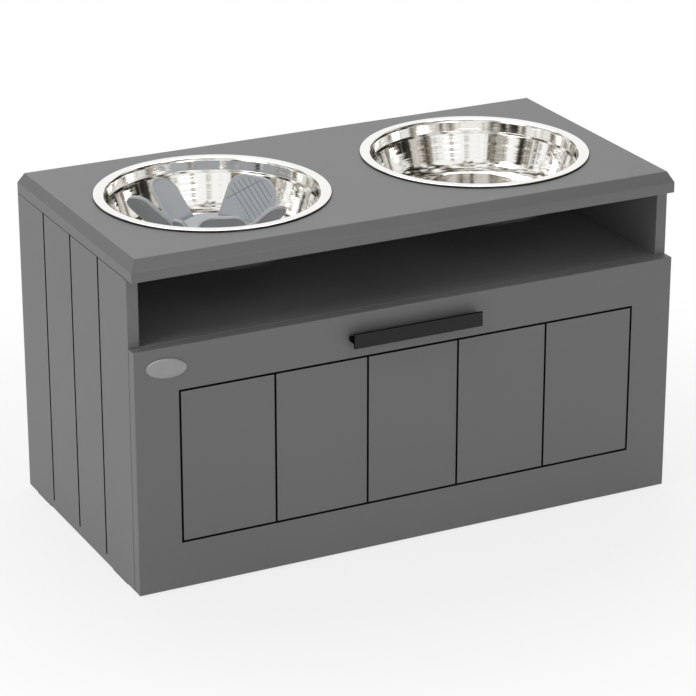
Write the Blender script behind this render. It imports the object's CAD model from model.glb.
from math import cos, hypot, pi, radians, sin, tan

import bmesh
import bpy
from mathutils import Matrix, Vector


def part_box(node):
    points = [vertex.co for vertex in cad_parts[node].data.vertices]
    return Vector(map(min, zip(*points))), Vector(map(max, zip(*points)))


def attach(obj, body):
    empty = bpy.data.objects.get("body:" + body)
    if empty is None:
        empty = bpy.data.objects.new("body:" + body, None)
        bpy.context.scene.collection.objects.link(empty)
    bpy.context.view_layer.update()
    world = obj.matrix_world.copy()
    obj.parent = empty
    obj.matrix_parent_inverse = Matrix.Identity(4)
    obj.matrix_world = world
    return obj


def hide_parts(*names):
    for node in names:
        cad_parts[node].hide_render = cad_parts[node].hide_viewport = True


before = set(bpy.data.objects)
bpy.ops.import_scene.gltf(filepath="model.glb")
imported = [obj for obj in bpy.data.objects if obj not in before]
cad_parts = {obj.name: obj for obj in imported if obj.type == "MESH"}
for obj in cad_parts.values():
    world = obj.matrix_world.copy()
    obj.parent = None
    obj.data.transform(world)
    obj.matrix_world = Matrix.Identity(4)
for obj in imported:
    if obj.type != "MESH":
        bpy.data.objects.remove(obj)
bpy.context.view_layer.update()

# Studio: a wide pale floor under a white surround, with three soft lamps, a large one high on the left,
# one overhead and a weak one in front.  They give the top about its written colour, and the floor keeps
# the shadow.


def add_node(tree, kind, at=None, **settings):
    """Node of this kind in a tree, with its properties set and its inputs set or linked from at."""
    made = tree.nodes.new(kind)
    for name, value in settings.items():
        setattr(made, name, value)
    for name, value in (at or {}).items():
        if isinstance(value, bpy.types.NodeSocket):
            tree.links.new(value, made.inputs[name])
        else:
            made.inputs[name].default_value = value
    return made


def open_material(name):
    """New material with an empty node tree."""
    material = bpy.data.materials.new(name)
    material.use_nodes = True
    material.node_tree.nodes.clear()
    return material, material.node_tree


def finish_material(tree, shader):
    """Sends a shader to the surface, which closes the material."""
    add_node(tree, "ShaderNodeOutputMaterial", {"Surface": shader.outputs[0]})


def seen_directly(tree):
    """The light path, and a number: 1 for rays from the camera, a mirror or glass, else 0."""
    path = add_node(tree, "ShaderNodeLightPath")
    total = path.outputs["Is Camera Ray"]
    for other in ("Is Glossy Ray", "Is Transmission Ray"):
        total = add_node(tree, "ShaderNodeMath", {0: total, 1: path.outputs[other]},
                         operation="ADD", use_clamp=True).outputs[0]
    return path, total


# The floor is matt for the light.  To the camera it glows white as well, less close to the piece.
floor_white, tree = open_material("studio_floor")
_, direct = seen_directly(tree)
place = add_node(tree, "ShaderNodeTexCoord").outputs["Object"]
away = add_node(tree, "ShaderNodeVectorMath", {0: place}, operation="LENGTH").outputs["Value"]
lit = add_node(tree, "ShaderNodeBsdfDiffuse", {"Color": (0.88, 0.88, 0.88, 1)})
glow = add_node(tree, "ShaderNodeEmission", {"Color": (1, 1, 1, 1), "Strength": 1.0})
fade = add_node(tree, "ShaderNodeMapRange", {"Value": away, "From Min": 0.25, "From Max": 0.75,
                                             "To Min": 0.8, "To Max": 1.0},
                interpolation_type="SMOOTHSTEP")
share = add_node(tree, "ShaderNodeMath", {0: direct, 1: fade.outputs[0]}, operation="MULTIPLY")
finish_material(tree, add_node(tree, "ShaderNodeMixShader", {0: share.outputs[0], 1: lit.outputs[0],
                                                             2: glow.outputs[0]}))
floor_reach = 9
floor_mesh = bpy.data.meshes.new("studio_floor")
floor_corners = ((-1, -1), (1, -1), (1, 1), (-1, 1))
floor_mesh.from_pydata([(x * floor_reach, y * floor_reach, 0) for x, y in floor_corners], [],
                       [(0, 1, 2, 3)])
floor_mesh.materials.append(floor_white)
floor = bpy.data.objects.new("studio_floor", floor_mesh)
bpy.context.scene.collection.objects.link(floor)

# The surround is even for the light it gives, white to the camera, and panelled for mirrors, as a
# studio with reflector boards is.
world = bpy.data.worlds.new("studio")
bpy.context.scene.world = world
world.use_nodes = True
tree = world.node_tree
tree.nodes.clear()
path, direct = seen_directly(tree)
heading = add_node(tree, "ShaderNodeTexCoord").outputs["Generated"]
spread = add_node(tree, "ShaderNodeVectorMath", {0: heading, 1: (4.6, 4.6, 1.8)}, operation="MULTIPLY")
panels = add_node(tree, "ShaderNodeTexNoise", {"Vector": spread.outputs[0], "Scale": 1.0,
                                               "Detail": 3.0, "Roughness": 0.65})
brightness = panels.outputs[0]
# Each board's direction, the dot products at which it begins and is full, and how much lighter it is.
for toward, start, full, lighter in (((-0.2, -0.93, 0.3), 0.78, 0.96, 0.10),
                                     ((1, 0, -0.3), 0.2, 0.9, -0.10),
                                     ((0.42, 0.83, 0.37), 0.84, 0.97, 0.22)):
    facing = add_node(tree, "ShaderNodeVectorMath", {0: heading, 1: toward}, operation="DOT_PRODUCT")
    board = add_node(tree, "ShaderNodeMapRange", {"Value": facing.outputs["Value"], "From Min": start,
                                                  "From Max": full, "To Min": 0.0, "To Max": lighter})
    brightness = add_node(tree, "ShaderNodeMath", {0: brightness, 1: board.outputs[0]},
                          operation="ADD").outputs[0]
boards = add_node(tree, "ShaderNodeValToRGB", {0: brightness})
dark, bright = boards.color_ramp.elements
dark.position, dark.color = 0.41, (0.020, 0.018, 0.015, 1)
bright.position, bright.color = 0.57, (1, 1, 1, 1)
boards.color_ramp.elements.new(0.48).color = (0.40, 0.36, 0.30, 1)
mirror = add_node(tree, "ShaderNodeMix", {0: path.outputs["Is Glossy Ray"], 6: (1, 1, 1, 1),
                                          7: boards.outputs[0]}, data_type="RGBA")
even = add_node(tree, "ShaderNodeBackground", {"Color": (1, 1, 1, 1), "Strength": 0.29})
shown = add_node(tree, "ShaderNodeBackground", {"Color": mirror.outputs[2], "Strength": 1.0})
surround = add_node(tree, "ShaderNodeMixShader", {0: direct, 1: even.outputs[0], 2: shown.outputs[0]})
add_node(tree, "ShaderNodeOutputWorld", {"Surface": surround.outputs[0]})

for name, place, aim, size, watts in (("key_lamp", (-2.4, -0.5, 2.4), (0, 0, 0.2), (1.4, 1.4), 21.2),
                                      ("overhead_lamp", (0.35, 1.2, 2.5), (0, 0, 0.3), (1.8, 1.4), 21),
                                      ("front_lamp", (0.1, -3.0, 0.95), (0, 0, 0.28), (1.0, 0.9), 8.5)):
    lamp = bpy.data.lights.new(name, "AREA")
    lamp.shape, lamp.energy = "RECTANGLE", watts
    lamp.size, lamp.size_y = size
    holder = bpy.data.objects.new(name, lamp)
    holder.location = place
    holder.rotation_euler = (Vector(aim) - Vector(place)).to_track_quat("-Z", "Y").to_euler()
    bpy.context.scene.collection.objects.link(holder)

camera = bpy.data.objects.new("camera", bpy.data.cameras.new("camera"))
bpy.context.scene.collection.objects.link(camera)
bpy.context.scene.camera = camera
picture_width, focal_length = 696, 2990.82
camera.data.sensor_width = 36.0
camera.data.lens = focal_length / picture_width * camera.data.sensor_width
camera.data.clip_end = 30
aim, distance = Vector((0.002327, 0.00625, 0.156745)), 3.11846
turn, tilt = radians(-26.577), radians(21.652)
camera.location = aim + distance * Vector((sin(turn) * cos(tilt), -cos(turn) * cos(tilt), sin(tilt)))
camera.rotation_euler = (aim - camera.location).to_track_quat("-Z", "Y").to_euler()
bpy.context.scene.view_settings.view_transform = "Standard"

# Boards: 12 mm MDF, the top 22 mm, sprayed with satin grey paint after the edges are eased with
# sandpaper.  The grooves that make them look boarded are routed before the paint.  Cams, dowels and
# screws hold them together.


def show(mesh, name, body, material, slot, *nodes):
    """Puts a finished mesh in the scene as a piece of that body, standing for these CAD nodes."""
    piece = bpy.data.objects.new(name, mesh)
    bpy.context.scene.collection.objects.link(piece)
    mesh.materials.clear()
    mesh.materials.append(material)
    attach(piece, body)
    if nodes:
        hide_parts(*nodes)
    return piece


def merged(node):
    """A node's shape as one welded mesh with large flat faces, ready for its marks."""
    weld_gap, flat_within = 2e-6, radians(0.4)
    shape = bmesh.new()
    shape.from_mesh(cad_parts[node].data)
    shape.faces.layers.float.new("arris")
    shape.faces.layers.float.new("groove")
    bmesh.ops.remove_doubles(shape, verts=shape.verts, dist=weld_gap)
    bmesh.ops.dissolve_limit(shape, angle_limit=flat_within, verts=shape.verts, edges=shape.edges)
    return shape


def ease(shape, radius, shortest, skip=(), only=None):
    """Rounds the long arrises of a piece and marks the rounded strips for the wear of the finish."""
    sharp = 0.25
    arris = shape.faces.layers.float["arris"]
    long_edges = [e for e in shape.edges if e.is_manifold and e.calc_length() > shortest
                  and e.calc_face_angle(0) > sharp and not any(f in skip for f in e.link_faces)
                  and (only is None or any(f in only for f in e.link_faces))]
    strips = bmesh.ops.bevel(shape, geom=long_edges, offset=radius, offset_type="OFFSET", segments=2,
                             profile=0.5, affect="EDGES", clamp_overlap=False, loop_slide=True)
    for face in strips["faces"]:
        face[arris] = 1.0
        face.smooth = True


def to_mesh(shape, name):
    """Closes a shape into a mesh of that name."""
    mesh = bpy.data.meshes.new(name)
    shape.to_mesh(mesh)
    shape.free()
    return mesh


def group_tree(name, inputs, outputs):
    """Empty shader node group with number inputs and the given outputs."""
    tree = bpy.data.node_groups.new(name, "ShaderNodeTree")
    for label, value in inputs.items():
        socket = tree.interface.new_socket(label, in_out="INPUT", socket_type="NodeSocketFloat")
        socket.default_value = value
    for label, kind in outputs.items():
        tree.interface.new_socket(label, in_out="OUTPUT", socket_type=kind)
    return tree, tree.nodes.new("NodeGroupInput"), tree.nodes.new("NodeGroupOutput")


def object_place(tree):
    """Place of a point in the piece's own metres."""
    return add_node(tree, "ShaderNodeTexCoord").outputs["Object"]


# Fine grain: the pebbled skin of sprayed paint, powder coat and moulded plastic, with slow blotches.
fine_grain, entry, leave = group_tree("fine grain", {"Size": 0.001, "Blotch Size": 0.05},
                                      {"Height": "NodeSocketFloat", "Blotch": "NodeSocketFloat"})
for size_name, out_name, detail in (("Size", "Height", 2.0), ("Blotch Size", "Blotch", 4.0)):
    pitch = add_node(fine_grain, "ShaderNodeMath", {0: 1.0, 1: entry.outputs[size_name]},
                     operation="DIVIDE")
    noise = add_node(fine_grain, "ShaderNodeTexNoise", {"Vector": object_place(fine_grain),
                                                        "Scale": pitch.outputs[0], "Detail": detail,
                                                        "Roughness": 0.55})
    fine_grain.links.new(noise.outputs[0], leave.inputs[out_name])

# Edge wear: 1 where a finish has rubbed thin along an eased arris.
edge_wear, entry, leave = group_tree("edge wear", {"Amount": 0.5, "Patch Size": 0.03},
                                     {"Mask": "NodeSocketFloat"})
pitch = add_node(edge_wear, "ShaderNodeMath", {0: 1.0, 1: entry.outputs["Patch Size"]},
                 operation="DIVIDE")
patches = add_node(edge_wear, "ShaderNodeTexNoise", {"Vector": object_place(edge_wear), "Detail": 6.0,
                                                     "Scale": pitch.outputs[0], "Roughness": 0.7})
rubbed = add_node(edge_wear, "ShaderNodeMapRange", {"Value": patches.outputs[0], "From Min": 0.35,
                                                    "From Max": 0.75})
strip = add_node(edge_wear, "ShaderNodeAttribute", attribute_name="arris")
masked = add_node(edge_wear, "ShaderNodeMath", {0: rubbed.outputs[0], 1: strip.outputs["Fac"]},
                  operation="MULTIPLY")
scaled = add_node(edge_wear, "ShaderNodeMath", {0: masked.outputs[0], 1: entry.outputs["Amount"]},
                  operation="MULTIPLY")
edge_wear.links.new(scaled.outputs[0], leave.inputs["Mask"])


def use_group(tree, group, **values):
    """Node of a shader group, its inputs given by name with _ for a space."""
    return add_node(tree, "ShaderNodeGroup", {n.replace("_", " "): v for n, v in values.items()},
                    node_tree=group)


def mix_colours(tree, mask, first, second):
    """Colour that goes from the first to the second, each a socket or three numbers, as the mask rises."""
    mix = add_node(tree, "ShaderNodeMix", {0: mask}, data_type="RGBA")
    for socket, colour in ((6, first), (7, second)):
        if isinstance(colour, bpy.types.NodeSocket):
            tree.links.new(colour, mix.inputs[socket])
        else:
            mix.inputs[socket].default_value = (*colour, 1)
    return mix.outputs[2]


def between(tree, mask, low, high):
    """Number that goes from low to high as the mask rises."""
    return add_node(tree, "ShaderNodeMapRange", {"Value": mask, "To Min": low, "To Max": high}).outputs[0]


def bumped(tree, height, distance, strength):
    """Normal of a skin whose height stands off by that distance."""
    return add_node(tree, "ShaderNodeBump", {"Height": height, "Distance": distance,
                                             "Strength": strength}).outputs[0]


def principled(tree, colour, roughness, normal, **fixed):
    """The material's shader: textures for colour, roughness and normal, plain numbers for the rest."""
    values = {"Base Color": colour, "Roughness": roughness, "Normal": normal}
    values.update({n.replace("_", " "): v for n, v in fixed.items()})
    finish_material(tree, add_node(tree, "ShaderNodeBsdfPrincipled", values))


def coated(name, grain, patch, low, high, roughness, relief, marks=(), wear=None, **fixed):
    """Material for a finish with a fine grained skin, blotched between two colours and two roughnesses.

    relief is the depth and strength of the grain, marks are face marks with the colour each one takes,
    and wear is how far the arrises are rubbed, the size of the rubbed patches and their colour.
    """
    material, tree = open_material(name)
    skin = use_group(tree, fine_grain, Size=grain, Blotch_Size=patch)
    blotch = skin.outputs["Blotch"]
    colour = mix_colours(tree, blotch, low, high)
    for mark, shade in marks:
        marked = add_node(tree, "ShaderNodeAttribute", attribute_name=mark)
        colour = mix_colours(tree, marked.outputs["Fac"], colour, shade)
    if wear:
        amount, patch_size, bare = wear
        worn = use_group(tree, edge_wear, Amount=amount, Patch_Size=patch_size)
        colour = mix_colours(tree, worn.outputs["Mask"], colour, bare)
    principled(tree, colour, between(tree, blotch, *roughness),
               bumped(tree, skin.outputs["Height"], *relief), **fixed)
    return material


paint = coated("satin_grey_paint", 0.0016, 0.09, (0.229, 0.231, 0.232), (0.245, 0.247, 0.248),
               (0.42, 0.52), (0.00012, 0.35), marks=[("groove", (0.006, 0.006, 0.006))],
               wear=(0.25, 0.025, (0.330, 0.332, 0.334)), Specular_IOR_Level=0.4)
groove_paint = coated("shaded_groove_paint", 0.0016, 0.03, (0.003, 0.003, 0.003), (0.008, 0.008, 0.008),
                      (0.75, 0.9), (0.00012, 0.35), Specular_IOR_Level=0.05)
groove_depth = 0.002
arris_radius = 0.0006
shortest_arris = 0.009
joint_shade = 0.85


def second_finish(piece, mark, material):
    """Gives the faces that carry a full mark another material."""
    piece.data.materials.append(material)
    for polygon, value in zip(piece.data.polygons, piece.data.attributes[mark].data):
        if value.value == 1:
            polygon.material_index = 1


def in_groove(node, low, high, point):
    """Whether a point of a board's skin lies down in one of its grooves."""
    tolerance, rim, foot = 0.00002, 0.01, 0.005
    if node == "drawer_front":
        down = point.y - low.y
        inside = low.x + rim < point.x < high.x - rim and point.z < high.z - rim
    else:
        down = point.x - low.x if node == "left_side_panel" else high.x - point.x
        inside = low.y + rim < point.y < high.y - rim and point.z > low.z + foot
    return inside and tolerance < down < groove_depth + tolerance


cabinet_boards = ("top_panel", "left_side_panel", "right_side_panel", "shelf_panel", "bottom_panel",
                  "back_panel")
drawer_boards = ("drawer_front", "left_drawer_side", "right_drawer_side", "drawer_back", "drawer_bottom")
for node in cabinet_boards + drawer_boards:
    board = merged(node)
    grooved = node in ("drawer_front", "left_side_panel", "right_side_panel")
    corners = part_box(node)
    routed_faces = {f for f in board.faces
                    if grooved and in_groove(node, *corners, f.calc_center_median())}
    for face in routed_faces:
        face[board.faces.layers.float["groove"]] = 1.0
    ease(board, arris_radius, shortest_arris, skip=routed_faces)
    if node in ("left_side_panel", "right_side_panel"):
        # The upper edge stands in the dark joint under the top.
        for face in board.faces:
            if face.calc_center_median().z > corners[1].z - arris_radius:
                face[board.faces.layers.float["groove"]] = joint_shade
    panel = show(to_mesh(board, node + "_board"), node + "_board",
                 "cabinet" if node in cabinet_boards else "drawer", paint, "painted_board", node)
    if grooved:
        second_finish(panel, "groove", groove_paint)

# Bowls: each one spun from a single 0.9 mm stainless sheet, with a rim that lies on the top, a ridge
# below it and a kicked-up base, then polished bright on the lathe.  They drop into the holes.


def arc(start, middle, end, steps):
    """Points of an arc from start to end about its middle, with both ends."""
    spoke = start - middle
    sweep = -spoke.angle_signed(end - middle)
    return [middle + Vector((spoke.x * cos(sweep * n / steps) - spoke.y * sin(sweep * n / steps),
                             spoke.x * sin(sweep * n / steps) + spoke.y * cos(sweep * n / steps)))
            for n in range(steps + 1)]


def rounded_line(corners):
    """Points of a line through (x, z, radius) corners, each corner turned by an arc of its radius."""
    fewest_steps, step_turn = 3, radians(9)
    line = [Vector(corners[0][:2])]
    for before, corner, after in zip(corners, corners[1:], corners[2:]):
        here, radius = Vector(corner[:2]), corner[2]
        back, on = (Vector(before[:2]) - here).normalized(), (Vector(after[:2]) - here).normalized()
        half = back.angle(on) / 2
        middle = here + (back + on).normalized() * radius / sin(half)
        line += arc(here + back * radius / tan(half), middle, here + on * radius / tan(half),
                    max(fewest_steps, int((pi - 2 * half) / step_turn)))
    line.append(Vector(corners[-1][:2]))
    return line


def spun_sheet(name, centre, line, sheet, segments):
    """Sheet of one thickness turned about the vertical through centre, from a line that ends on it."""
    on_axis = 1e-6
    sides = [], []
    for n, point in enumerate(line):
        along = (line[min(n + 1, len(line) - 1)] - line[max(n - 1, 0)]).normalized()
        normal = Vector((-along.y, along.x)) * sheet / 2
        if n == len(line) - 1:
            normal = Vector((0, -normal.length if normal.y < 0 else normal.length))
        sides[0].append(point + normal)
        sides[1].append(point - normal)
    loop = sides[0][::-1] + sides[1]
    shape = bmesh.new()
    chart = shape.loops.layers.uv.new("turned")
    rings = []
    for point in loop:
        if point.x < on_axis:
            rings.append([shape.verts.new((centre[0], centre[1], point.y))])
        else:
            rings.append([shape.verts.new((centre[0] + point.x * cos(2 * pi * n / segments),
                                           centre[1] + point.x * sin(2 * pi * n / segments), point.y))
                          for n in range(segments)])
    run = 0.0
    for inner, outer, a, b in zip(rings, rings[1:], loop, loop[1:]):
        length = (b - a).length
        for n in range(segments):
            ahead = (n + 1) % segments
            corners = [(inner[n % len(inner)], n, run), (outer[n % len(outer)], n, run + length),
                       (outer[ahead % len(outer)], n + 1, run + length),
                       (inner[ahead % len(inner)], n + 1, run)]
            kept = [c for k, c in enumerate(corners) if c[0] not in [d[0] for d in corners[:k]]]
            face = shape.faces.new([c[0] for c in kept])
            face.smooth = True
            for loop_corner, (_, turn, along) in zip(face.loops, kept):
                loop_corner[chart].uv = (turn / segments, along)
        run += length
    bmesh.ops.recalc_face_normals(shape, faces=shape.faces)
    return to_mesh(shape, name)


# The middle of the sheet, from the rim's hem in over the ridge and down the wall to the base.
bowl_line = rounded_line([(0.11905, 0.3501, 0), (0.11905, 0.35165, 0.0008), (0.10795, 0.35165, 0.003),
                          (0.10735, 0.3391, 0.0012), (0.10535, 0.3371, 0.0012), (0.092, 0.29655, 0.020),
                          (0.067, 0.29655, 0.003), (0.055, 0.30855, 0.003), (0, 0.30855, 0)])
bowl_sheet = 0.0009
bowl_segments = 160
bowl_spacing = 0.298
middle_y = 0.00625

# Spun marks: rings left by the polishing wheel, as a height and as a mask of duller bands, with masks
# of the rim's turned-under hem and of the base.
spun_marks, entry, leave = group_tree("spun marks", {"Pitch": 0.0006, "Centre X": 0.0},
                                      {"Height": "NodeSocketFloat", "Bands": "NodeSocketFloat",
                                       "Hem": "NodeSocketFloat", "Base": "NodeSocketFloat"})
split = add_node(spun_marks, "ShaderNodeSeparateXYZ", {0: object_place(spun_marks)})
from_x = add_node(spun_marks, "ShaderNodeMath", {0: split.outputs[0], 1: entry.outputs["Centre X"]},
                  operation="SUBTRACT")
from_y = add_node(spun_marks, "ShaderNodeMath", {0: split.outputs[1], 1: middle_y}, operation="SUBTRACT")
flat = add_node(spun_marks, "ShaderNodeCombineXYZ", {0: from_x.outputs[0], 1: from_y.outputs[0]})
reach = add_node(spun_marks, "ShaderNodeVectorMath", {0: flat.outputs[0]}, operation="LENGTH")
ring_place = add_node(spun_marks, "ShaderNodeCombineXYZ",
                      {0: reach.outputs["Value"], 1: split.outputs[2]})
pitch = add_node(spun_marks, "ShaderNodeMath", {0: 1.0, 1: entry.outputs["Pitch"]}, operation="DIVIDE")
for out_name, coarse, detail in (("Height", 1.0, 3.0), ("Bands", 0.12, 2.0)):
    scale = add_node(spun_marks, "ShaderNodeMath", {0: pitch.outputs[0], 1: coarse}, operation="MULTIPLY")
    rings = add_node(spun_marks, "ShaderNodeTexNoise", {"Vector": ring_place.outputs[0], "Detail": detail,
                                                        "Scale": scale.outputs[0], "Roughness": 0.6})
    spun_marks.links.new(rings.outputs[0], leave.inputs[out_name])
for out_name, start, full in (("Hem", 0.1187, 0.1192), ("Base", 0.0575, 0.054)):
    mask = add_node(spun_marks, "ShaderNodeMapRange", {"Value": reach.outputs["Value"],
                                                       "From Min": start, "From Max": full})
    spun_marks.links.new(mask.outputs[0], leave.inputs[out_name])

for side, hand in ((-1, "left"), (1, "right")):
    centre = (side * bowl_spacing / 2, middle_y)
    steel, tree = open_material(f"{hand}_bowl_steel")
    marks = use_group(tree, spun_marks, Pitch=0.0006, Centre_X=centre[0])
    smear = use_group(tree, fine_grain, Size=0.004, Blotch_Size=0.045)
    tint = mix_colours(tree, smear.outputs["Blotch"], (0.915, 0.905, 0.875), (0.955, 0.95, 0.93))
    rub = mix_colours(tree, marks.outputs["Bands"], (0.94, 0.94, 0.94), (1.0, 1.0, 1.0))
    sheen = add_node(tree, "ShaderNodeMix", {0: 1.0}, data_type="RGBA", blend_type="MULTIPLY")
    tree.links.new(tint, sheen.inputs[6])
    tree.links.new(rub, sheen.inputs[7])
    duller = mix_colours(tree, smear.outputs["Blotch"], (0.48, 0.465, 0.42), (0.64, 0.62, 0.575))
    based = mix_colours(tree, marks.outputs["Base"], sheen.outputs[2], duller)
    hemmed = mix_colours(tree, marks.outputs["Hem"], based, (0.06, 0.06, 0.06))
    waves = bumped(tree, marks.outputs["Bands"], 0.0004, 0.45)
    fine = add_node(tree, "ShaderNodeBump", {"Height": marks.outputs["Height"], "Distance": 0.00003,
                                             "Strength": 0.25, "Normal": waves})
    principled(tree, hemmed, between(tree, marks.outputs["Bands"], 0.04, 0.12), fine.outputs[0],
               Metallic=1.0)
    show(spun_sheet(f"{hand}_spun_bowl", centre, bowl_line, bowl_sheet, bowl_segments),
         f"{hand}_spun_bowl", f"{hand}_bowl", steel, "polished_steel", f"{hand}_bowl")

# Slow feeder: one moulding of soft grey plastic, a round foot with six leaning petals.  Each petal
# is a thin web inside a thicker rounded rim.  The insert stands loose on the left bowl's base.

# Petals in degrees and metres: direction of the root and of the face, lean, width, height, sweep of
# the tip and its round.
petals = ((18.0, 31.0, 19.0, 0.060, 0.0480, -0.0085, 0.020),
          (115.0, 122.0, 45.0, 0.038, 0.054, -0.011, 0.017),
          (175.0, 214.0, 31.0, 0.038, 0.053, -0.037, 0.015),
          (-152.0, -152.0, 26.0, 0.018, 0.030, -0.003, 0.008),
          (-98.0, -112.0, 23.0, 0.050, 0.0365, -0.003, 0.015),
          (-44.0, -79.0, 35.0, 0.035, 0.0405, 0.025, 0.014))
widest, leftmost = petals[0], petals[2]
root_radius = 0.040
foot_radius = 0.052
foot_z = 0.3091
foot_height = 0.0026
# The rim's section: how far in from the edge, and half the thickness there.
rim_steps = ((0.0, 0.0), (0.00025, 0.0010), (0.0008, 0.00165), (0.0015, 0.0019), (0.0022, 0.00165),
             (0.0028, 0.00135), (0.0034, 0.0012), (0.0042, 0.0012))


def petal_outline(width, height, sweep, tip, inset):
    """Both sides of a petal's outline, each from the root to where they meet, drawn in by inset."""
    side_steps, tip_steps, meet_steps = 5, 16, 3
    slope, radius = sweep / height, tip - inset
    half, high = width / 2 - inset * hypot(1, slope), height - inset
    sides = []
    for side in (-1, 1):
        root, corner = Vector((side * half, 0)), Vector((side * half + slope * high, high))
        down, along = (root - corner).normalized(), Vector((-side, 0))
        wedge = down.angle(along) / 2
        start, end = corner + down * radius / tan(wedge), corner + along * radius / tan(wedge)
        middle = corner + (down + along).normalized() * radius / sin(wedge)
        sides.append([root.lerp(start, n / side_steps) for n in range(side_steps)]
                     + arc(start, middle, end, tip_steps))
    meet = (sides[0][-1] + sides[1][-1]) / 2
    return [side + [side[-1].lerp(meet, n / meet_steps) for n in range(1, meet_steps + 1)]
            for side in sides]


def on_petal(petal, x, y, off):
    """Point of a petal at x across, y up and off out of its face, on its shallow cup."""
    direction, facing, lean, width, height, sweep, _ = petal
    cup_depth, cup_start = 0.0012, 0.012
    out, across = (Vector((cos(radians(facing + turn)), sin(radians(facing + turn)), 0))
                   for turn in (0, 90))
    face = out * cos(radians(lean)) - Vector((0, 0, 1)) * sin(radians(lean))
    root = Vector((-bowl_spacing / 2 + root_radius * cos(radians(direction)),
                   middle_y + root_radius * sin(radians(direction)), foot_z + foot_height / 2))
    bow = cup_depth * (1 - (2 * (x - y * sweep / height) / width) ** 2) * min(1, y / cup_start)
    return root + across * x + face.cross(across) * y + face * (off + bow)


feeder = bmesh.new()
rim_mark = feeder.faces.layers.float.new("rim")
outer_mark = feeder.faces.layers.float.new("outer")
columns = 8
rim_faces = 3
for petal in petals:
    shade = 0.5 if petal is leftmost else 1.0
    outlines = [petal_outline(*petal[3:], inset) for inset, _ in rim_steps]
    rows = []
    for n in range(len(outlines[0][0])):
        left, right = ([(*outline[side][n], thick) for outline, (_, thick) in zip(outlines, rim_steps)]
                       for side in (0, 1))
        inner = [tuple(Vector(left[-1]).lerp(Vector(right[-1]), c / columns)) for c in range(1, columns)]
        rows.append(left + inner + right[::-1])
    for face_side in (1, -1):
        grid = [[feeder.verts.new(on_petal(petal, x, y, face_side * thick)) for x, y, thick in row]
                for row in rows]
        for lower, upper in zip(grid, grid[1:]):
            for k in range(len(lower) - 1):
                made = feeder.faces.new([lower[k], lower[k + 1], upper[k + 1], upper[k]])
                made[rim_mark] = 1.0 if k < rim_faces or k > len(lower) - 2 - rim_faces else 0.0
                made[outer_mark] = shade if face_side > 0 and not made[rim_mark] else 0.0
bmesh.ops.remove_doubles(feeder, verts=feeder.verts, dist=1e-5)
bmesh.ops.holes_fill(feeder, edges=[e for e in feeder.edges if e.is_boundary])
foot_line = [(foot_radius - 0.0012, foot_height), (foot_radius - 0.0003, foot_height - 0.0004),
             (foot_radius, foot_height - 0.0012), (foot_radius, 0.0004), (foot_radius - 0.0004, 0)]
steps = 96
rings = [[feeder.verts.new((-bowl_spacing / 2 + x * cos(2 * pi * n / steps),
                            middle_y + x * sin(2 * pi * n / steps), foot_z + z)) for n in range(steps)]
         for x, z in foot_line]
for inner, outer in zip(rings, rings[1:]):
    for n in range(steps):
        feeder.faces.new([inner[n], outer[n], outer[(n + 1) % steps], inner[(n + 1) % steps]])
feeder.faces.new(rings[0])
feeder.faces.new(rings[-1])
bmesh.ops.recalc_face_normals(feeder, faces=feeder.faces)
for face in feeder.faces:
    face.smooth = len(face.verts) < 5

soft_plastic = coated("soft_grey_plastic", 0.0005, 0.03, (0.56, 0.585, 0.615), (0.61, 0.635, 0.665),
                      (0.48, 0.62), (0.00006, 0.4),
                      marks=[("outer", (0.31, 0.325, 0.35)), ("rim", (0.64, 0.655, 0.675))],
                      Subsurface_Weight=0.05, Subsurface_Scale=0.004)
show(to_mesh(feeder, "lotus_feeder"), "lotus_feeder", "slow_feeder", soft_plastic, "soft_plastic",
     "slow_feed_insert")

# Ribs: half-round beads moulded on the webs of the widest petal and of the one at the left, in the
# same soft plastic.  Each one ends where the petal's rim begins.


def nodes_tree(name, inputs):
    """Empty geometry tree with its modifier's inputs; finish_shape closes it."""
    tree = bpy.data.node_groups.new(name, "GeometryNodeTree")
    tree.interface.new_socket("Geometry", in_out="INPUT", socket_type="NodeSocketGeometry")
    for label, value in inputs.items():
        socket = tree.interface.new_socket(label, in_out="INPUT", socket_type="NodeSocketFloat")
        socket.default_value = value
    tree.interface.new_socket("Geometry", in_out="OUTPUT", socket_type="NodeSocketGeometry")
    return tree, tree.nodes.new("NodeGroupInput")


def finish_shape(tree, shape, material):
    """Closes a geometry tree with real meshes of one material."""
    real = add_node(tree, "GeometryNodeRealizeInstances", {0: shape})
    coloured = add_node(tree, "GeometryNodeSetMaterial", {0: real.outputs[0], "Material": material})
    tree.links.new(coloured.outputs[0], tree.nodes.new("NodeGroupOutput").inputs[0])


def grown(base, tree, **values):
    """Plain mesh that a geometry tree makes of a base mesh."""
    holder = bpy.data.objects.new("holder", base)
    bpy.context.scene.collection.objects.link(holder)
    modifier = holder.modifiers.new("grown", "NODES")
    modifier.node_group = tree
    for socket in tree.interface.items_tree:
        name = socket.name.replace(" ", "_")
        if socket.in_out == "INPUT" and name in values:
            modifier[socket.identifier] = values[name]
    bpy.context.view_layer.update()
    mesh = bpy.data.meshes.new_from_object(holder.evaluated_get(bpy.context.evaluated_depsgraph_get()))
    bpy.data.objects.remove(holder)
    return mesh


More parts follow.
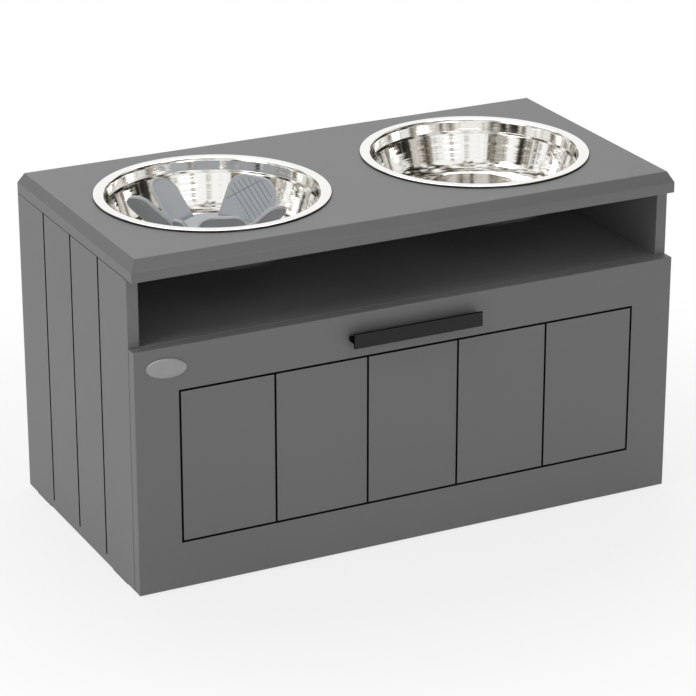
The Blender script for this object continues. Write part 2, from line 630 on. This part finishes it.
rib_tree, entry = nodes_tree("moulded ribs", {"Rib Radius": 0.0005})
section = add_node(rib_tree, "GeometryNodeCurvePrimitiveCircle",
                   {"Resolution": 8, "Radius": entry.outputs["Rib Radius"]})
line = add_node(rib_tree, "GeometryNodeMeshToCurve", {0: entry.outputs["Geometry"]})
bead = add_node(rib_tree, "GeometryNodeCurveToMesh", {0: line.outputs[0], 1: section.outputs[0],
                                                      "Fill Caps": True})
smooth = add_node(rib_tree, "GeometryNodeSetShadeSmooth", {0: bead.outputs[0]})
rib_plastic = coated("shaded_rib_plastic", 0.0005, 0.012, (0.25, 0.265, 0.285), (0.35, 0.37, 0.39),
                     (0.5, 0.65), (0.00006, 0.4))
finish_shape(rib_tree, smooth.outputs[0], rib_plastic)


def rib_points(petal, start, end, face_side):
    """A rib's middle line on a petal's web, cut back to where the rim begins."""
    width, height, sweep, tip = petal[3:]
    steps, foot_clear, clear = 32, 0.004, 0.0036
    left, right = petal_outline(width, height, sweep, tip, clear)
    points = []
    for n in range(steps + 1):
        x, y = (a + (b - a) * n / steps for a, b in zip(start, end))
        if foot_clear < y < height - clear:
            low_x, high_x = (min(line, key=lambda p: abs(p.y - y)).x for line in (left, right))
            if low_x < x < high_x:
                points.append(on_petal(petal, x, y, face_side * rim_steps[-1][1]))
    return points


ribs = [rib_points(leftmost, (x, 0), (x - 0.037, 0.053), 1)
        for x in (-0.0125, -0.0075, -0.0025, 0.0025, 0.0075, 0.0125)]
ribs += [rib_points(widest, (x - 0.033, 0), (x + 0.019, 0.047), -1)
         for x in (-0.0375, -0.0295, -0.0215, -0.0135, -0.0055, 0.0025, 0.0105, 0.0185)]
ribs += [rib_points(widest, (0.028, 0.016), (-0.014, 0.045), -1)]
ribs = [points for points in ribs if len(points) > 1]
rib_lines = bpy.data.meshes.new("rib_lines")
rib_lines.from_pydata([p for points in ribs for p in points],
                      [(i, i + 1) for k, points in enumerate(ribs)
                       for i in range(sum(map(len, ribs[:k])), sum(map(len, ribs[:k + 1])) - 1)], [])
show(grown(rib_lines, rib_tree, Rib_Radius=0.00042), "petal_ribs", "slow_feeder", rib_plastic,
     "soft_plastic")

# Handle: an aluminium T bar, its plate and stem drawn in one length, sawn off, deburred and
# powder-coated matt black.  Two screws from inside the drawer front hold its stem.
powder = coated("matt_black_powder_coat", 0.0007, 0.03, (0.011, 0.011, 0.012), (0.016, 0.016, 0.017),
                (0.46, 0.58), (0.0001, 0.5), wear=(0.35, 0.012, (0.085, 0.085, 0.087)),
                Specular_IOR_Level=0.3)
shaded_powder = coated("shaded_powder_coat", 0.0007, 0.03, (0.002, 0.002, 0.002), (0.005, 0.005, 0.005),
                       (0.7, 0.85), (0.0001, 0.5), Specular_IOR_Level=0.04)
bar = merged("drawer_handle")
low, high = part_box("drawer_handle")
at_end, sawn_edge = 1e-4, 0.00025
ends = {f for f in bar.faces if abs(f.normal.x) > 0.9
        and min(abs(f.calc_center_median().x - side.x) for side in (low, high)) < at_end}
ease(bar, sawn_edge, 0.0, only=ends)
# The upper faces and the sawn ends take the darker coat, by the groove mark.
for face in bar.faces:
    face.smooth = abs(face.normal.x) < 0.9
    if face.normal.z > 0.5 or abs(face.normal.x) > 0.9:
        face[bar.faces.layers.float["groove"]] = 1.0
bar_mesh = to_mesh(bar, "pull_bar")
bar_mesh.set_sharp_from_angle(angle=radians(35))
second_finish(show(bar_mesh, "pull_bar", "drawer", powder, "black_metal", "drawer_handle"), "groove",
              shaded_powder)

# Oval plate: thin pale anodised aluminium, pressed to a low dome and left bare.  It is stuck on the
# drawer front's upper left corner.
plate_metal = coated("pale_anodised_plate", 0.0004, 0.01, (0.31, 0.313, 0.31), (0.39, 0.393, 0.39),
                     (0.3, 0.42), (0.00004, 0.3), marks=[("arris", (0.22, 0.22, 0.215))], Metallic=0.55)
plate_middle = Vector((-0.2665, -0.14375, 0.237))
half_long, half_high, plate_tilt = 0.02175, 0.0105, radians(-6)
# The dome: how far it stands off the board, and the share of the oval's size there.
dome = ((0.0, 1.0), (0.00035, 1.0), (0.0006, 0.975), (0.00085, 0.93), (0.0011, 0.82), (0.0013, 0.66),
        (0.00145, 0.46), (0.00153, 0.24), (0.00156, 0.0))
edge_rings = 2
steps = 72
plate = bmesh.new()
plate_edge = plate.faces.layers.float.new("arris")
rings = []
for off, share in dome:
    ring = []
    for n in range(steps if share else 1):
        x, z = half_long * share * cos(2 * pi * n / steps), half_high * share * sin(2 * pi * n / steps)
        ring.append(plate.verts.new((plate_middle.x + x * cos(plate_tilt) - z * sin(plate_tilt),
                                     plate_middle.y - off,
                                     plate_middle.z + x * sin(plate_tilt) + z * cos(plate_tilt))))
    rings.append(ring)
for k, (outer, inner) in enumerate(zip(rings, rings[1:])):
    for n in range(steps):
        ahead = (n + 1) % steps
        corners = [outer[n], outer[ahead], inner[ahead % len(inner)], inner[n % len(inner)]]
        made = plate.faces.new(corners if len(inner) > 1 else corners[:3])
        made.smooth = True
        made[plate_edge] = 1.0 if k < edge_rings else 0.0
plate.faces.new(rings[0])
bmesh.ops.recalc_face_normals(plate, faces=plate.faces)
show(to_mesh(plate, "bare_oval_plate"), "bare_oval_plate", "drawer", plate_metal, "zinc_steel")

# Knock-down fittings: zinc-plated cam locks and bolts, beech dowels between them, and grey plastic caps
# over the cams that face the bay.  They stay where the boards hold them.
zinc = coated("bright_zinc_plate", 0.0003, 0.006, (0.55, 0.57, 0.60), (0.70, 0.70, 0.68), (0.24, 0.42),
              (0.00003, 0.4), Metallic=1.0)
cap_plastic = coated("grey_cap_plastic", 0.0004, 0.01, (0.215, 0.217, 0.22), (0.245, 0.247, 0.25),
                     (0.38, 0.5), (0.00005, 0.4))

beech, tree = open_material("bare_beech")
lengthwise = add_node(tree, "ShaderNodeMapping", {"Vector": object_place(tree), "Scale": (60, 900, 900)})
fibres = add_node(tree, "ShaderNodeTexNoise", {"Vector": lengthwise.outputs[0], "Scale": 1.0,
                                               "Detail": 4.0, "Distortion": 0.6})
wood = mix_colours(tree, fibres.outputs[0], (0.50, 0.31, 0.16), (0.72, 0.53, 0.34))
principled(tree, wood, between(tree, fibres.outputs[0], 0.55, 0.75),
           bumped(tree, fibres.outputs[0], 0.0001, 0.4))


def dress(material, *nodes):
    """Gives CAD nodes that keep their shape their own finish."""
    for node in nodes:
        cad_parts[node].data.materials.clear()
        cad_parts[node].data.materials.append(material)


dress(zinc, "cabinet_cam_bolts", "cabinet_cam_locks", "drawer_cam_bolts", "drawer_cam_locks",
      "cabinet_roller_pins", "drawer_roller_pins")
dress(beech, "cabinet_dowels", "drawer_dowels")
dress(cap_plastic, "cam_covers")

# Screws: zinc-plated, turned from wire with a cross recess struck in the head.  Six hold the back
# panel, four the drawer's back, eight the runners and two the handle.
screw_tree, entry = nodes_tree("cross-head screws", {"Head Radius": 0.0034, "Head Height": 0.002,
                                                     "Cone": 0.5, "Shank Radius": 0.00175,
                                                     "Shank Length": 0.01, "Recess": 0.0019})
under = add_node(screw_tree, "ShaderNodeMath",
                 {0: entry.outputs["Head Radius"], 1: entry.outputs["Cone"]}, operation="MULTIPLY")
head = add_node(screw_tree, "GeometryNodeMeshCone", {
    "Vertices": 24, "Radius Top": under.outputs[0], "Radius Bottom": entry.outputs["Head Radius"],
    "Depth": entry.outputs["Head Height"]})
blades = []
for length, width in ((1.0, 0.3), (0.3, 1.0)):
    size = [add_node(screw_tree, "ShaderNodeMath", {0: entry.outputs["Recess"], 1: 2 * part},
                     operation="MULTIPLY").outputs[0] for part in (length, width)]
    deep = add_node(screw_tree, "ShaderNodeMath", {0: entry.outputs["Head Height"], 1: 1.1},
                    operation="MULTIPLY")
    sides = add_node(screw_tree, "ShaderNodeCombineXYZ", {0: size[0], 1: size[1], 2: deep.outputs[0]})
    blades.append(add_node(screw_tree, "GeometryNodeMeshCube", {"Size": sides.outputs[0]}).outputs[0])
struck = head.outputs[0]
for blade in blades:
    cut = add_node(screw_tree, "GeometryNodeMeshBoolean", operation="DIFFERENCE", solver="EXACT")
    screw_tree.links.new(struck, cut.inputs[0])
    screw_tree.links.new(blade, cut.inputs[1])
    struck = cut.outputs[0]
shank = add_node(screw_tree, "GeometryNodeMeshCone", {
    "Vertices": 16, "Radius Top": 0.0004, "Radius Bottom": entry.outputs["Shank Radius"],
    "Depth": entry.outputs["Shank Length"]})
move = add_node(screw_tree, "ShaderNodeCombineXYZ", {2: entry.outputs["Head Height"]})
both = add_node(screw_tree, "GeometryNodeJoinGeometry")
for part, shift in ((struck, None), (shank.outputs[0], move.outputs[0])):
    placed = add_node(screw_tree, "GeometryNodeTransform", {0: part})
    if shift is not None:
        screw_tree.links.new(shift, placed.inputs["Translation"])
    screw_tree.links.new(placed.outputs[0], both.inputs[0])
driven = add_node(screw_tree, "GeometryNodeInputNamedAttribute", {"Name": "aim"},
                  data_type="FLOAT_VECTOR")
turned = add_node(screw_tree, "FunctionNodeAlignRotationToVector", {"Vector": driven.outputs[0]},
                  axis="Z")
row = add_node(screw_tree, "GeometryNodeInstanceOnPoints", {"Points": entry.outputs["Geometry"],
                                                           "Instance": both.outputs[0],
                                                           "Rotation": turned.outputs[0]})
finish_shape(screw_tree, row.outputs[0], zinc)


def spots(name, places):
    """Points for a row of like pieces, each with the way it is driven."""
    mesh = bpy.data.meshes.new(name)
    mesh.from_pydata([place for place, _ in places], [], [])
    aims = mesh.attributes.new("aim", "FLOAT_VECTOR", "POINT")
    aims.data.foreach_set("vector", [c for _, aim in places for c in aim])
    return mesh


countersunk = dict(Head_Radius=0.0034, Head_Height=0.0019, Cone=0.515, Shank_Radius=0.00175,
                   Recess=0.0018)
flat_headed = dict(Head_Radius=0.0034, Head_Height=0.001, Cone=1.0, Shank_Radius=0.00175,
                   Shank_Length=0.01, Recess=0.0018)
handle_screw = dict(Head_Radius=0.0036, Head_Height=0.0024, Cone=1.0, Shank_Radius=0.002,
                    Shank_Length=0.02, Recess=0.002)
right, forward, up = Vector((1, 0, 0)), Vector((0, -1, 0)), Vector((0, 0, 1))
# Each row: its CAD node, its body, the screw, and where each head stands with the way it is driven.
screw_rows = (
    ("back_screws", "cabinet", dict(countersunk, Shank_Length=0.0276),
     [((x, 0.15625, z), forward) for z in (0.252, 0.014) for x in (-0.246, 0, 0.246)]),
    ("drawer_back_screws", "drawer", dict(countersunk, Shank_Length=0.0256),
     [((side * 0.2753, 0.12425, z), -side * right) for side in (-1, 1) for z in (0.0762, 0.1712)]),
    ("cabinet_runner_screws", "cabinet", flat_headed,
     [((side * 0.2858, y, 0.0493), side * right) for side in (-1, 1) for y in (-0.08355, 0.10145)]),
    ("drawer_runner_screws", "drawer", flat_headed,
     [((side * 0.2708, y, 0.039), up) for side in (-1, 1) for y in (-0.09975, 0.08525)]),
    ("handle_screws", "drawer", handle_screw,
     [((x, -0.12935, 0.2334), forward) for x in (-0.048, 0.048)]))
for node, body, sizes, places in screw_rows:
    made = grown(spots(node + "_spots", places), screw_tree, **sizes)
    show(made, node + "_row", body, zinc, "zinc_steel", node)

# Runners: folded steel rails with a white epoxy coat, screwed to the side panels and under the drawer
# sides.  Nylon rollers turn on riveted pins, two on the cabinet and two on the drawer.
rail_coat = coated("white_epoxy_coat", 0.0008, 0.02, (0.66, 0.66, 0.64), (0.78, 0.78, 0.76), (0.3, 0.42),
                   (0.00008, 0.4))
nylon = coated("natural_nylon", 0.0003, 0.008, (0.68, 0.67, 0.62), (0.78, 0.77, 0.73), (0.34, 0.46),
               (0.00003, 0.3), Subsurface_Weight=0.1, Subsurface_Scale=0.002)
dress(rail_coat, "left_cabinet_runner", "right_cabinet_runner", "left_drawer_runner",
      "right_drawer_runner")
dress(nylon, "left_front_roller", "right_front_roller", "left_rear_roller", "right_rear_roller")

# Feet: four strips of dark needled felt, cut with rounded corners.  Their glued backs hold them under
# the side panels.
felt, tree = open_material("dark_felt")
fibres = add_node(tree, "ShaderNodeTexNoise", {"Vector": object_place(tree), "Scale": 2600.0,
                                               "Detail": 5.0, "Roughness": 0.8, "Distortion": 1.2})
tufts = add_node(tree, "ShaderNodeTexVoronoi", {"Vector": object_place(tree), "Scale": 900.0})
charcoal = mix_colours(tree, fibres.outputs[0], (0.010, 0.010, 0.011), (0.028, 0.028, 0.030))
principled(tree, charcoal, between(tree, fibres.outputs[0], 0.85, 1.0),
           bumped(tree, tufts.outputs[0], 0.0004, 0.6), Sheen_Weight=0.4, Sheen_Roughness=0.6)
pad_wide, pad_long, pad_thick = 0.01, 0.04, 0.002
pad_corner, pad_arris = 0.0015, 0.0003
pads = bmesh.new()
for x in (-0.294, 0.294):
    for y in (-0.09055, 0.11625):
        for vert in bmesh.ops.create_cube(pads, size=1.0)["verts"]:
            vert.co = Vector((x + vert.co.x * pad_wide, y + vert.co.y * pad_long,
                              pad_thick / 2 + vert.co.z * pad_thick))
tall = [e for e in pads.edges if abs((e.verts[0].co - e.verts[1].co).normalized().z) > 0.9]
bmesh.ops.bevel(pads, geom=tall, offset=pad_corner, segments=4, profile=0.5, affect="EDGES")
level = [e for e in pads.edges if abs(e.verts[0].co.z - e.verts[1].co.z) < pad_thick / 2]
bmesh.ops.bevel(pads, geom=level, offset=pad_arris, segments=2, profile=0.5, affect="EDGES")
for face in pads.faces:
    face.smooth = abs(face.normal.z) < 0.99
show(to_mesh(pads, "felt_feet"), "felt_feet", "cabinet", felt, "felt", "floor_pads")

# Bumpers: soft clear dots, cast to a low dome, that the drawer front shuts against.  They are stuck on
# the front edges of the side panels.


def turned_dot(shape, line, place, aim):
    """Round solid turned from a line of (radius, height) points about an axis from place along aim."""
    steps = 32
    spin = aim.to_track_quat("Z", "Y")
    rings = [[shape.verts.new(place + spin @ Vector((radius * cos(2 * pi * n / steps),
                                                     radius * sin(2 * pi * n / steps), high)))
              for n in range(steps)] for radius, high in line]
    for inner, outer in zip(rings, rings[1:]):
        for n in range(steps):
            ahead = (n + 1) % steps
            shape.faces.new([inner[n], inner[ahead], outer[ahead], outer[n]]).smooth = True
    shape.faces.new(rings[0][::-1])
    shape.faces.new(rings[-1]).smooth = True


cloudy = coated("cloudy_soft_rubber", 0.0004, 0.004, (0.55, 0.55, 0.53), (0.68, 0.68, 0.66), (0.2, 0.35),
                (0.00003, 0.3), Subsurface_Weight=0.35, Subsurface_Scale=0.002)
dot_line = [(0.004, 0), (0.004, 0.0003), (0.0037, 0.0006), (0.0028, 0.0008), (0.0014, 0.0009)]
dots = bmesh.new()
for x in (-0.294, 0.294):
    for z in (0.020, 0.242):
        turned_dot(dots, dot_line, Vector((x, -0.13055, z)), forward)
show(to_mesh(dots, "bumper_dots"), "bumper_dots", "cabinet", cloudy, "clear_rubber", "drawer_bumpers")
